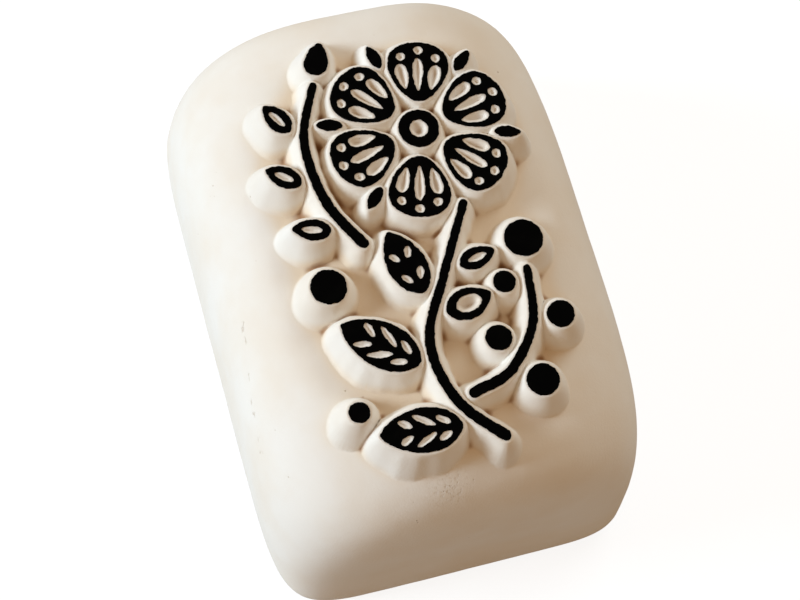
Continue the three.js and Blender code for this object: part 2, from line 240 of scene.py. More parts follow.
def make_mesh(name: str, points: np.ndarray, faces: list[list[int]]) -> bpy.types.Object:
    """Make an object from points in millimetres.

    Args:
        name: Name of the object and its mesh.
        points: The vertices, three columns.
        faces: Lists of vertex numbers, anticlockwise from outside.

    Returns:
        The smooth-shaded object, linked to the scene.
    """
    mesh = bpy.data.meshes.new(name)
    mesh.from_pydata((points * MM).tolist(), [], faces)
    mesh.shade_smooth()
    return link_object(name, mesh)


# Finishes


class NodeTree:
    """A material's or the world's node tree, with one short way to add a node."""

    def __init__(self, tree: bpy.types.NodeTree) -> None:
        """Empty a tree so that it can be filled."""
        self.tree = tree
        tree.nodes.clear()

    def add(
        self, kind: str, links: dict[str | int, Any] | None = None, **settings: Any
    ) -> bpy.types.Node:
        """Add a node.

        Args:
            kind: The node's type.
            links: For each input, by name or number, a value or the output socket to join.
            settings: The node's own properties.

        Returns:
            The new node.
        """
        node = self.tree.nodes.new(kind)
        for name, value in settings.items():
            setattr(node, name, value)
        for key, value in (links or {}).items():
            if isinstance(value, bpy.types.NodeSocket):
                self.tree.links.new(value, node.inputs[key])
            else:
                node.inputs[key].default_value = value
        return node


def new_material(name: str) -> tuple[bpy.types.Material, NodeTree]:
    """Make a material with an empty tree."""
    material = bpy.data.materials.new(name)
    material.use_nodes = True
    return material, NodeTree(material.node_tree)


def band(limits: tuple[float, float]) -> dict[str, float]:
    """Inputs of a Map Range node that stretch the values between two limits to 0 to 1."""
    return {"From Min": limits[0], "From Max": limits[1]}


@dataclass(frozen=True)
class BisqueCeramic:
    """Unglazed white ceramic, slip cast, fettled by hand and fired once.

    The eye gets a dry, chalky off-white with no shine, with painted warm shade between the
    lands and in the creases and windows, a fine grain, faint strokes where a damp sponge passed,
    clusters of pinholes where the slip held air, a row of small nicks on the left flank, where
    the casting caught on its mould, and a patch of fine pits below the motif, where the sponge
    tore the skin. Painted shade darkens the bottoms of the pinholes, nicks and pits.
    """

    body: str = "#F1F0EC"  # the clean fired clay
    warm: str = "#EEE9E0"  # where it is a shade yellower
    valley_shade: str = "#E4C79A"  # painted warm shade, low between the lands
    valley_shade_share: float = 0.46
    cavity_shade: str = "#9E6F40"  # painted darker shade in the creases and windows
    cavity_shade_share: float = 0.85
    pit: str = "#B39C80"  # painted shade at the bottom of a pinhole, a nick and a pit of the patch
    roughness: float = 0.9
    ior: float = 1.5
    patch_mm: float = 11.0  # size of the warmer patches
    patch_band: tuple[float, float] = (0.38, 0.68)  # bands are limits of a noise's value
    grain_mm: float = 0.32  # grains are 0.05 mm, drawn coarser to show
    grain_height_mm: float = 0.022
    stroke_mm: float = 1.6  # width of a sponge stroke
    stroke_stretch: float = 7.0
    stroke_turn: float = 0.5  # radians
    stroke_height_mm: float = 0.02
    cluster_mm: float = 8.0  # size of the patches that hold pinholes
    cluster_band: tuple[float, float] = (0.6, 0.68)
    pinhole_gap_mm: float = 1.2
    pinhole_band: tuple[float, float] = (0.35, 1.0)  # the first is the share of gaps left empty
    pinhole_mm: float = 0.17  # radius of the largest pinhole
    pinhole_depth_mm: float = 0.1
    nick_start: tuple[float, float, float] = (-22.6, -4.0, 26.2)  # ends of the row of nicks
    nick_end: tuple[float, float, float] = (-23.9, -19.5, 21.2)
    nick_gap_mm: float = 1.5
    nick_band: tuple[float, float] = (0.5, 0.62)
    nick_width_mm: float = 0.2
    nick_depth_mm: float = 0.07
    nick_shade: float = 0.45  # share of the painted shade in a nick, which is lighter than in a pinhole
    scuff_place: tuple[float, float, float] = (-4.2, -31.4, 29.9)  # middle of the pitted patch
    scuff_mm: float = 4.2  # its radius
    scuff_grain_mm: float = 0.55
    scuff_band: tuple[float, float] = (0.5, 0.68)
    scuff_depth_mm: float = 0.04
    # share of the painted shade in the pits of the patch
    scuff_shade: float = 0.28

    def tone(self, tree: NodeTree, place: bpy.types.NodeSocket) -> bpy.types.NodeSocket:
        """Colour the clay: its warmer patches, and the painted shade in the valleys and the
        creases.

        Args:
            tree: The material's tree.
            place: The place on the object.

        Returns:
            The colour.
        """
        patches = tree.add("ShaderNodeTexNoise", {
            "Vector": place, "Scale": 1 / (self.patch_mm * MM), "Detail": 3.0, "Roughness": 0.55,
        })
        clay = tree.add("ShaderNodeMix", {
            "Factor": tree.add("ShaderNodeMapRange", {
                "Value": patches.outputs["Fac"], **band(self.patch_band),
            }).outputs["Result"],
            "A": linear(self.body), "B": linear(self.warm),
        }, data_type="RGBA")
        # painted shade: warmer low between the lands, darker in the creases and windows
        for name, share, tint in (
            ("valley_shade", self.valley_shade_share, self.valley_shade), ("cavity_shade", self.cavity_shade_share, self.cavity_shade),
        ):
            depth = tree.add("ShaderNodeMapRange", {
                "Value": tree.add("ShaderNodeAttribute", attribute_name=name).outputs["Fac"],
                "To Max": share,
            })
            clay = tree.add("ShaderNodeMix", {
                "Factor": depth.outputs["Result"], "A": clay.outputs["Result"], "B": linear(tint),
            }, data_type="RGBA")
        return clay.outputs["Result"]

    def pinholes(self, tree: NodeTree, place: bpy.types.NodeSocket) -> bpy.types.NodeSocket:
        """Mark the pinholes.

        Args:
            tree: The material's tree.
            place: The place on the object.

        Returns:
            A share that is 1 at the bottom of a pinhole and 0 on the plain skin.
        """
        patches = tree.add("ShaderNodeTexNoise", {
            "Vector": place, "Scale": 1 / (self.cluster_mm * MM), "Detail": 1.0,
        })
        cluster = tree.add("ShaderNodeMapRange", {
            "Value": patches.outputs["Fac"], **band(self.cluster_band),
        })
        cells = tree.add("ShaderNodeTexVoronoi", {
            "Vector": place, "Scale": 1 / (self.pinhole_gap_mm * MM),
        })
        chance = tree.add("ShaderNodeSeparateColor", {"Color": cells.outputs["Color"]})
        size = tree.add("ShaderNodeMapRange", {
            "Value": chance.outputs["Red"], **band(self.pinhole_band),
            "To Max": self.pinhole_mm / self.pinhole_gap_mm,
        })
        hole = tree.add("ShaderNodeMapRange", {
            "Value": cells.outputs["Distance"], "From Max": size.outputs["Result"],
            "To Min": 1.0, "To Max": 0.0,
        })
        return tree.add("ShaderNodeMath", {
            0: hole.outputs["Result"], 1: cluster.outputs["Result"],
        }, operation="MULTIPLY").outputs[0]

    def nicks(self, tree: NodeTree, place: bpy.types.NodeSocket) -> bpy.types.NodeSocket:
        """Mark the row of nicks on the left flank.

        Args:
            tree: The material's tree.
            place: The place on the object.

        Returns:
            A share that is 1 at the bottom of a nick and 0 on the plain skin.
        """
        start = Vector(self.nick_start) * MM
        row = Vector(self.nick_end) * MM - start
        across = Vector((1, 0, 0)).cross(row).normalized()
        gap = self.nick_gap_mm * MM
        away = tree.add("ShaderNodeVectorMath", {
            0: place, 1: start,
        }, operation="SUBTRACT").outputs["Vector"]
        travel, side = (
            tree.add("ShaderNodeVectorMath", {
                0: away, 1: way,
            }, operation="DOT_PRODUCT").outputs["Value"]
            for way in (row / row.length_squared, across)
        )
        strays = tree.add("ShaderNodeTexNoise", {
            "Vector": place, "Scale": 1 / gap, "Detail": 2.0, "Roughness": 0.7,
        })
        stray = tree.add("ShaderNodeMapRange", {
            "Value": strays.outputs["Fac"], "To Min": -gap, "To Max": gap,
        })
        off = tree.add("ShaderNodeMath", {0: side, 1: stray.outputs["Result"]}, operation="ADD")
        beside = tree.add("ShaderNodeMath", {0: off.outputs[0]}, operation="ABSOLUTE").outputs[0]
        middle = tree.add("ShaderNodeMapRange", {
            "Value": beside, "From Max": self.nick_width_mm * MM, "To Min": 1.0, "To Max": 0.0,
        })
        pulses = tree.add("ShaderNodeTexNoise", {
            "W": travel, "Scale": row.length / gap, "Detail": 1.0,
        }, noise_dimensions="1D")
        nick = tree.add("ShaderNodeMapRange", {
            "Value": pulses.outputs["Fac"], **band(self.nick_band),
        })
        # within half the row of its middle
        ends = tree.add("ShaderNodeMath", {0: travel, 1: 0.5, 2: 0.5}, operation="COMPARE")
        left = tree.add("ShaderNodeMath", {
            0: tree.add("ShaderNodeSeparateXYZ", {"Vector": place}).outputs["X"], 1: 0.0,
        }, operation="LESS_THAN")
        share = middle.outputs["Result"]
        for limit in (nick.outputs["Result"], ends.outputs[0], left.outputs[0]):
            share = tree.add("ShaderNodeMath", {
                0: share, 1: limit,
            }, operation="MULTIPLY").outputs[0]
        return share

    def scuff(self, tree: NodeTree, place: bpy.types.NodeSocket) -> bpy.types.NodeSocket:
        """Mark the patch of fine pits below the motif.

        Args:
            tree: The material's tree.
            place: The place on the object.

        Returns:
            A share that is 1 at the bottom of a pit and 0 on the plain skin.
        """
        away = tree.add("ShaderNodeVectorMath", {
            0: place, 1: Vector(self.scuff_place) * MM,
        }, operation="DISTANCE").outputs["Value"]
        patch = tree.add("ShaderNodeMapRange", {
            "Value": away, "From Max": self.scuff_mm * MM, "To Min": 1.0, "To Max": 0.0,
        }, interpolation_type="SMOOTHSTEP")
        grain = tree.add("ShaderNodeTexNoise", {
            "Vector": place, "Scale": 1 / (self.scuff_grain_mm * MM),
            "Detail": 3.0, "Roughness": 0.7,
        })
        pit = tree.add("ShaderNodeMapRange", {
            "Value": grain.outputs["Fac"], **band(self.scuff_band),
        })
        return tree.add("ShaderNodeMath", {
            0: patch.outputs["Result"], 1: pit.outputs["Result"],
        }, operation="MULTIPLY").outputs[0]

    def build(self) -> bpy.types.Material:
        """Make the material."""
        material, tree = new_material("ceramic_bisque_sponged_unglazed")
        place = tree.add("ShaderNodeTexCoord").outputs["Object"]
        marks = (self.pinholes, self.nicks, self.scuff)
        pinhole, nick, scuff = (mark(tree, place) for mark in marks)
        # painted shade at the bottoms of the pinholes, the nicks and the pits of the patch
        flaw_shade = pinhole
        for mark, share in ((nick, self.nick_shade), (scuff, self.scuff_shade)):
            shade_share = tree.add("ShaderNodeMath", {0: mark, 1: share}, operation="MULTIPLY").outputs[0]
            flaw_shade = tree.add("ShaderNodeMath", {0: flaw_shade, 1: shade_share}, operation="MAXIMUM").outputs[0]
        colour = tree.add("ShaderNodeMix", {
            "Factor": flaw_shade, "A": self.tone(tree, place), "B": linear(self.pit),
        }, data_type="RGBA")
        grain = tree.add("ShaderNodeTexNoise", {
            "Vector": place, "Scale": 1 / (self.grain_mm * MM), "Detail": 2.0, "Roughness": 0.6,
        })
        stretched = tree.add("ShaderNodeMapping", {
            "Vector": place, "Scale": (1.0, 1 / self.stroke_stretch, 1.0),
            "Rotation": (0.0, 0.0, self.stroke_turn),
        })
        strokes = tree.add("ShaderNodeTexNoise", {
            "Vector": stretched.outputs["Vector"], "Scale": 1 / (self.stroke_mm * MM),
            "Detail": 2.0,
        })
        layers = (
            (grain.outputs["Fac"], self.grain_height_mm),
            (strokes.outputs["Fac"], self.stroke_height_mm),
            (pinhole, -self.pinhole_depth_mm),
            (nick, -self.nick_depth_mm),
            (scuff, -self.scuff_depth_mm),
        )
        skin = tree.add("ShaderNodeNewGeometry").outputs["Normal"]
        for height, most in layers:
            skin = tree.add("ShaderNodeBump", {
                "Height": height, "Distance": abs(most) * MM, "Normal": skin,
            }, invert=most < 0).outputs["Normal"]
        surface = tree.add("ShaderNodeBsdfPrincipled", {
            "Base Color": colour.outputs["Result"], "Roughness": self.roughness, "IOR": self.ior,
            "Metallic": 0.0, "Normal": skin,
        })
        tree.add("ShaderNodeOutputMaterial", {"Surface": surface.outputs["BSDF"]})
        return material


@dataclass(frozen=True)
class DriedInk:
    """Water-based black pigment ink, dabbed on from a pad and dried.

    The eye gets a deep flat black that swallows light, a touch greyer where the pad's weave left
    less of it.
    """

    full: str = "#010101"
    thin: str = "#060605"
    roughness: float = 0.95
    ior: float = 1.5
    specular: float = 0.04  # soot leaves almost no shine
    dab_mm: float = 2.4  # size of the thinner places
    dab_band: tuple[float, float] = (0.5, 0.8)
    grain_mm: float = 0.22
    grain_height_mm: float = 0.008

    def build(self) -> bpy.types.Material:
        """Make the material."""
        material, tree = new_material("pigment_ink_dabbed_dried")
        place = tree.add("ShaderNodeTexCoord").outputs["Object"]
        dabs = tree.add("ShaderNodeTexNoise", {
            "Vector": place, "Scale": 1 / (self.dab_mm * MM), "Detail": 4.0, "Roughness": 0.7,
        })
        colour = tree.add("ShaderNodeMix", {
            "Factor": tree.add("ShaderNodeMapRange", {
                "Value": dabs.outputs["Fac"], **band(self.dab_band),
            }).outputs["Result"],
            "A": linear(self.full), "B": linear(self.thin),
        }, data_type="RGBA")
        grain = tree.add("ShaderNodeTexNoise", {
            "Vector": place, "Scale": 1 / (self.grain_mm * MM), "Detail": 2.0,
        })
        rough = tree.add("ShaderNodeBump", {
            "Height": grain.outputs["Fac"], "Distance": self.grain_height_mm * MM,
        })
        surface = tree.add("ShaderNodeBsdfPrincipled", {
            "Base Color": colour.outputs["Result"], "Roughness": self.roughness, "IOR": self.ior,
            "Specular IOR Level": self.specular, "Metallic": 0.0, "Normal": rough.outputs["Normal"],
        })
        tree.add("ShaderNodeOutputMaterial", {"Surface": surface.outputs["BSDF"]})
        return material


@dataclass(frozen=True)
class PaperFloor:
    """Matt white card, which the camera sees as white and which throws a softer light back."""

    seen: str = "#8C9198"
    bounced: str = "#BABABA"
    glow: float = 0.86  # lifts the card to white in the camera's eye only

    def build(self) -> bpy.types.Material:
        """Make the material."""
        material, tree = new_material("card_white_matt")
        by_camera = tree.add("ShaderNodeLightPath").outputs["Is Camera Ray"]
        colour = tree.add("ShaderNodeMix", {
            "Factor": by_camera, "A": linear(self.bounced), "B": linear(self.seen),
        }, data_type="RGBA")
        card = tree.add("ShaderNodeBsdfDiffuse", {"Color": colour.outputs["Result"]})
        glow = tree.add("ShaderNodeEmission", {
            "Color": linear("#FFFFFF"),
            "Strength": tree.add("ShaderNodeMath", {
                0: by_camera, 1: self.glow,
            }, operation="MULTIPLY").outputs[0],
        })
        both = tree.add("ShaderNodeAddShader", {
            0: card.outputs["BSDF"], 1: glow.outputs["Emission"],
        })
        tree.add("ShaderNodeOutputMaterial", {"Surface": both.outputs["Shader"]})
        return material


# The casting


@dataclass(frozen=True)
class Level:
    """One level of the block's skin: its height, inset and shares of the two half widths."""

    height: float
    inset: float = 0.0
    across: float = 1.0
    along: float = 1.0


@dataclass(frozen=True)
class BlockForm:
    """The domed block before its relief, in millimetres."""

    width: float = 50.0
    length: float = 70.0
    crown_height: float = 34.0
    widest_level: float = 9.2
    foot_radius: float = 2.7
    side_tuck: float = 1.0  # how far the sides draw in below the widest level
    end_flare: float = 0.7  # and how far the ends spread
    foot_squareness: float = 8.4  # powers of the outline's superellipse
    crown_squareness: float = 2.3
    dome_power_across: float = 3.2
    dome_power_along: float = 5.3
    hollow_depth: float = 1.75
    hollow_margin: float = 4.2
    hollow_end_margin: float = 3.2
    hollow_power: float = 2.6
    hollow_rim: float = 9.0  # width of the slope into the hollow

    def squareness(self, height: np.ndarray | float) -> np.ndarray | float:
        """Superellipse power of the block's outline at a height."""
        rise = height / self.crown_height
        return self.foot_squareness + (self.crown_squareness - self.foot_squareness) * rise

    def level_height(self, rise: np.ndarray | float) -> np.ndarray | float:
        """Height at a share of the way from the widest level to the crown."""
        return self.widest_level + (self.crown_height - self.widest_level) * rise

    def dome_level(self, rise: float) -> Level:
        """The dome's level at a share of that way."""
        return Level(
            height=self.level_height(rise),
            across=(1 - rise ** self.dome_power_across) ** (1 / self.dome_power_across),
            along=(1 - rise ** self.dome_power_along) ** (1 / self.dome_power_along),
        )

    def half_sizes(self, level: Level) -> tuple[float, float]:
        """Half the width and half the length of the block at a level."""
        below = max(0.0, 1 - level.height / self.widest_level)
        return (
            self.width / 2 * level.across - self.side_tuck * below - level.inset,
            self.length / 2 * level.along + self.end_flare * below - level.inset,
        )

    def ring(self, level: Level, directions: np.ndarray) -> np.ndarray:
        """Place points on the block's skin.

        Args:
            level: The level that they lie on.
            directions: Their directions from the middle, two columns, as shares of the half widths.

        Returns:
            The points, three columns.
        """
        power = self.squareness(level.height)
        reach = (np.abs(directions) ** power).sum(1) ** (-1 / power)
        plan = directions * reach[:, None] * np.array(self.half_sizes(level))
        return np.column_stack([plan, np.full(len(plan), level.height)])

    def hollow(self, plan: np.ndarray) -> np.ndarray:
        """Depth of the hollow in the face under points of the plan."""
        margins = np.array([self.hollow_margin, self.hollow_end_margin])
        halves = np.array([self.width, self.length]) / 2 - margins
        span = ((np.abs(plan) / halves) ** self.hollow_power).sum(1) ** (1 / self.hollow_power)
        return self.hollow_depth * smoothstep((1 - span) * halves[0], 0, self.hollow_rim)

    def dome_height(self, plan: np.ndarray) -> np.ndarray:
        """Find the dome's height over points of the plan, by halving.

        Args:
            plan: Places inside the dome, two columns.

        Returns:
            Heights before the hollow is taken off.
        """
        halvings = 26
        low, high = np.zeros(len(plan)), np.ones(len(plan))
        halves = np.array([self.width, self.length]) / 2
        powers = np.array([self.dome_power_across, self.dome_power_along])
        for _ in range(halvings):
            rise = (low + high) / 2
            shares = (1 - rise[:, None] ** powers) ** (1 / powers)
            power = self.squareness(self.level_height(rise))[:, None]
            under = ((np.abs(plan) / (halves * shares)) ** power).sum(1) < 1
            low, high = np.where(under, rise, low), np.where(under, high, rise)
        return self.level_height(low)


@dataclass
class Land:
    """One raised land, by the outline of its ink and of its windows."""

    name: str
    outline: np.ndarray
    windows: list[np.ndarray]


@dataclass(frozen=True)
class ReliefForm:
    """How the lands rise from the block, in millimetres."""

    shoulder: float = 0.2  # bare edge left round the ink
    flank_depth: float = 8.0
    flank_run: float = 2.5
    flank_power: float = 1.25  # 1 is a straight flank and 2 a quarter ellipse
    flank_fall: float = 4.0  # past its run it falls by this many times its depth in another run
    run_change: float = 0.13  # how much the run changes round a land, cut by hand
    run_change_size: float = 3.0
    mark: float = 0.2  # depth of the knife marks that run down a flank
    mark_size: float = 1.5
    mark_start: float = 0.7  # the marks reach their depth this far out from the ink
    crease: float = 0.08  # fillet where two flanks, or a flank and the block, meet
    pocket_slope: float = 1.35  # depth of a window against half its width
    pocket_round: float = 1.05  # 1 is a plain V, and more rounds its floor
    pocket_limit: float = 1.25
    pocket_least: float = 0.05  # least half width of a window

    def flank(self, distance: np.ndarray, run: np.ndarray) -> np.ndarray:
        """Depth of a flank below the printing plane.

        Args:
            distance: Distances outward from the ink's edge.
            run: How far the flank spreads there by its full depth.

        Returns:
            Depths, which swell as a quarter of an oval does and then fall away.
        """
        share = (distance - self.shoulder) / run
        power = self.flank_power
        oval = self.flank_depth * (1 - (1 - np.clip(share, 0, 1) ** power) ** (1 / power))
        return oval + np.clip(share - 1, 0, None) * self.flank_depth * self.flank_fall

    def cut_flank(self, distance: np.ndarray, nearest: np.ndarray) -> np.ndarray:
        """Depth of a flank with the unevenness and the knife marks of cutting by hand.

        Args:
            distance: Distances outward from the ink's edge.
            nearest: The nearest places on that edge, two columns.

        Returns:
            Depths below the printing plane.
        """
        places = np.column_stack([nearest, np.zeros(len(nearest))])
        change = self.run_change * perlin(places, self.run_change_size, NoiseLayer.FLANK_RUN)
        marks = self.mark * perlin(places, self.mark_size, NoiseLayer.KNIFE_MARKS)
        marks *= smoothstep(distance, self.shoulder, self.mark_start)
        return self.flank(distance + marks, self.flank_run * (1 + change))

    def pocket(self, inward: np.ndarray) -> np.ndarray:
        """Depth of a window below the printing plane.

        Args:
            inward: Distances inward from the edge of the ink round it, above 0 inside the window.

        Returns:
            Depths, steep at the mouth and easing to a rounded valley.
        """
        half = max(float(inward.max()) - self.shoulder, self.pocket_least)
        share = np.clip((inward - self.shoulder) / half, 0, 1)
        deepest = min(half * self.pocket_slope, self.pocket_limit)
        return deepest * (1 - (1 - share) ** self.pocket_round)


@dataclass
class Casting:
    """The one fired piece: the block with every land and window in it."""

    lands: list[Land]
    land_top: float
    block: BlockForm = BlockForm()
    relief: ReliefForm = ReliefForm()
    face_rise: float = 0.78  # where the finely divided face ends and the walls begin
    face_spacing: float = 0.14
    quick_spacing: float = 0.3
    outline_spacing: float = 0.2  # between the points of a land's outline
    window_spacing: float = 0.1
    wall_rows: int = 34
    straight_rows: int = 6
    foot_rows: int = 7
    wave: float = 0.17  # depth of the soft waves that fettling left in the skin
    wave_size: float = 9.0
    ripple: float = 0.045
    ripple_size: float = 2.6
    # the painted shade in the creases, windows and valleys follows these
    cavity_grain: float = 0.2  # creases and valleys are found from heights blurred this far
    cavity_spread: float = 0.6  # against heights blurred this far
    cavity_depth: float = 0.85  # a crease this far below them counts in full
    cavity_start: float = 0.42  # and from this share of that it starts to count
    valley_spread: float = 2.2
    valley_depth: float = 1.9
    window_shade: float = 0.32  # painted shade at the bottom of a window

    def spacing(self) -> float:
        """Distance in millimetres between the face's points."""
        return self.face_spacing

    def face_grid(self) -> np.ndarray:
        """Places on the face across and along, from -1 to 1, by row and column."""
        halves = self.block.half_sizes(self.block.dome_level(self.face_rise))
        lines = [np.linspace(-1, 1, 2 * round(half / self.spacing()) + 1) for half in halves]
        return np.stack(np.meshgrid(*lines), axis=2)

    def face_plan(self) -> np.ndarray:
        """Lay the face's grid out inside the rounded outline where the walls begin.

        Returns:
            Places in the plan, by row and column.
        """
        level = self.block.dome_level(self.face_rise)
        grid = self.face_grid()
        size = np.maximum(np.abs(grid).max(axis=2), TINY)
        power = self.block.squareness(level.height) / size ** 2
        shares = np.abs(grid) / size[..., None]
        stretch = np.maximum((shares ** power[..., None]).sum(2) ** (1 / power), 1)
        return grid / stretch[..., None] * np.array(self.block.half_sizes(level))

    def rim_order(self, number: np.ndarray) -> np.ndarray:
        """Numbers of the face's outermost points, anticlockwise."""
        return np.concatenate([
            number[0, :-1], number[:-1, -1], number[-1, :0:-1], number[:0:-1, 0],
        ])

    def wall_levels(self) -> list[Level]:
        """The levels below the face, from the dome's flank down to the foot."""
        rises = self.face_rise * np.cos(np.linspace(0, math.pi / 2, self.wall_rows + 1)[1:])
        dome = [self.block.dome_level(float(rise)) for rise in rises]
        radius = self.block.foot_radius
        straight = np.linspace(self.block.widest_level, radius, self.straight_rows + 1)
        turns = np.linspace(0, math.pi / 2, self.foot_rows + 1)[1:]
        foot = [
            Level(radius * (1 - math.sin(turn)), inset=radius * (1 - math.cos(turn)))
            for turn in turns
        ]
        return [*dome, *(Level(height=float(height)) for height in straight[1:]), *foot]

    def skin(self) -> tuple[np.ndarray, list[list[int]], tuple[int, int]]:
        """Lay out the whole skin of the plain block.

        Returns:
            Its points, its faces, and the rows and columns of the face, which comes first.
        """
        plan = self.face_plan()
        shape = plan.shape[:2]
        number = np.arange(math.prod(shape)).reshape(shape)
        flat = plan.reshape(-1, 2)
        heights = self.block.dome_height(flat) - self.block.hollow(flat)
        rim = self.rim_order(number)
        directions = self.face_grid().reshape(-1, 2)[rim]
        walls = [self.block.ring(level, directions) for level in self.wall_levels()]
        for ring in walls:
            dome = ring[:, 2] > self.block.widest_level
            ring[:, 2] -= np.where(dome, self.block.hollow(ring[:, :2]), 0)
        points = np.vstack([np.column_stack([flat, heights]), *walls])
        face = np.stack([
            number[:-1, :-1], number[:-1, 1:], number[1:, 1:], number[1:, :-1],
        ], axis=2)
        below = np.arange(len(rim) * len(walls)).reshape(len(walls), -1) + number.size
        rings = np.vstack([rim, below])
        after = np.roll(rings, -1, axis=1)
        wall = np.stack([rings[:-1], rings[1:], after[1:], after[:-1]], axis=2)
        quads = np.vstack([face.reshape(-1, 4), wall.reshape(-1, 4)]).tolist()
        return points, [*quads, rings[-1][::-1].tolist()], shape

    def normals(self, points: np.ndarray, faces: list[list[int]]) -> np.ndarray:
        """Smooth outward directions at the points of the skin."""
        quads = np.array(faces[:-1])
        corners = points[quads]
        outward = np.cross(corners[:, 2] - corners[:, 0], corners[:, 3] - corners[:, 1])
        total = np.zeros_like(points)
        for corner in range(4):
            np.add.at(total, quads[:, corner], outward)
        return total / np.linalg.norm(total, axis=1, keepdims=True)

    def fettle(self, points: np.ndarray, faces: list[list[int]]) -> np.ndarray:
        """Press soft waves into the skin, and none into the flat of the foot.

        Args:
            points: The plain block's points.
            faces: Its faces.

        Returns:
            The points, moved inward by up to the wave's and ripple's depth.
        """
        wave = perlin(points, self.wave_size, NoiseLayer.WAVES)
        ripple = perlin(points, self.ripple_size, NoiseLayer.RIPPLES)
        depth = self.wave * (1 + wave) / 2 + self.ripple * (1 + ripple) / 2
        depth *= smoothstep(points[:, 2], 0.0, self.block.foot_radius)
        return points - self.normals(points, faces) * depth[:, None]

    def raise_lands(self, points: np.ndarray) -> None:
        """Raise every land over the face.

        Args:
            points: The face's points, which are changed.
        """
        relief = self.relief
        reach = relief.shoulder + relief.flank_run * (1 + relief.run_change) + relief.mark
        raised = points[:, 2].copy()
        lands = np.full(len(points), -np.inf)
        for land in self.lands:
            low, high = land.outline.min(0) - reach, land.outline.max(0) + reach
            near = np.where(((points[:, :2] > low) & (points[:, :2] < high)).all(1))[0]
            edge = refine(land.outline, self.outline_spacing)
            distance, nearest = loop_distance(points[near, :2], edge)
            height = self.land_top - relief.cut_flank(distance, nearest)
            lands[near] = np.where(
                np.isinf(lands[near]), height, smooth_max(lands[near], height, relief.crease)
            )
        lands = np.minimum(lands, self.land_top)
        met = np.isfinite(lands)
        raised[met] = smooth_max(raised[met], lands[met], relief.crease)
        points[:, 2] = np.minimum(raised, self.land_top)

    def sink_windows(self, points: np.ndarray) -> np.ndarray:
        """Sink every window.

        Args:
            points: The face's points with the lands raised, which are changed.

        Returns:
            How deep each point was sunk, as a share of the deepest that a window may be.
        """
        relief = self.relief
        sunk = np.zeros(len(points))
        for window in (window for land in self.lands for window in land.windows):
            inside = (points[:, :2] > window.min(0)) & (points[:, :2] < window.max(0))
            near = np.where(inside.all(1))[0]
            edge = refine(window, self.window_spacing)
            distance, nearest = loop_distance(points[near, :2], edge)
            off = -distance - relief.shoulder
            snapped = np.abs(off) < self.face_spacing / 2
            inward = (points[near, :2] - nearest) / np.maximum(-distance, TINY)[:, None]
            points[near, :2] -= np.where(snapped, off, 0)[:, None] * inward
            off = np.where(snapped, 0, off)
            depth = relief.pocket(off + relief.shoulder)
            points[near, 2] -= depth
            sunk[near] = np.maximum(sunk[near], depth / relief.pocket_limit)
        return sunk

    def blur(self, heights: np.ndarray, spread: float) -> np.ndarray:
        """Blur the face's heights.

        Args:
            heights: Heights by row and column.
            spread: How far the blur reaches, in millimetres.

        Returns:
            The blurred heights in one row.
        """
        for _ in range(round(2 * (spread / self.spacing()) ** 2)):
            padded = np.pad(heights, 1, mode="reflect", reflect_type="odd")
            sides = (padded[:-2, 1:-1], padded[2:, 1:-1], padded[1:-1, :-2], padded[1:-1, 2:])
            heights = sum(sides) / len(sides)
        return heights.ravel()

    def cavities(self, heights: np.ndarray) -> tuple[np.ndarray, np.ndarray]:
        """Measure how low each point of the face lies.

        Args:
            heights: Heights by row and column.

        Returns:
            Shares from 0 to 1, which set the painted shade: how deep it lies in a crease between
            two flanks, and how far below the lands round it.
        """
        near = self.blur(heights, self.cavity_grain)
        crease = (self.blur(heights, self.cavity_spread) - near) / self.cavity_depth
        valley_shade = (self.blur(heights, self.valley_spread) - near) / self.valley_depth
        return smoothstep(crease, self.cavity_start, 1.0), smoothstep(valley_shade, 0.0, 1.0)

    def build(self, finish: BisqueCeramic) -> None:
        """Build the casting, riding in place of its plain solid.

        Args:
            finish: The ceramic's finish.
        """
        points, faces, shape = self.skin()
        points = self.fettle(points, faces)
        face = points[:math.prod(shape)]
        self.raise_lands(face)
        # painted shade: darker in the creases and windows, warmer low between the lands
        crease, valley_shade = self.cavities(face[:, 2].reshape(shape))
        cavity_shade = np.maximum(crease, self.window_shade * self.sink_windows(face))
        casting = make_mesh("stone_casting", points, faces)
        for name, shares in (("cavity_shade", cavity_shade), ("valley_shade", valley_shade)):
            values = np.concatenate([shares, np.zeros(len(points) - len(face))]).astype(np.float32)
            casting.data.attributes.new(name, "FLOAT", "POINT").data.foreach_set("value", values)
        casting.data.materials.append(finish.build())
        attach(casting, BODY)
        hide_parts("stone_body")
        LOG.info("%s: %d points, %d faces", casting.name, len(points), len(faces))


# The ink


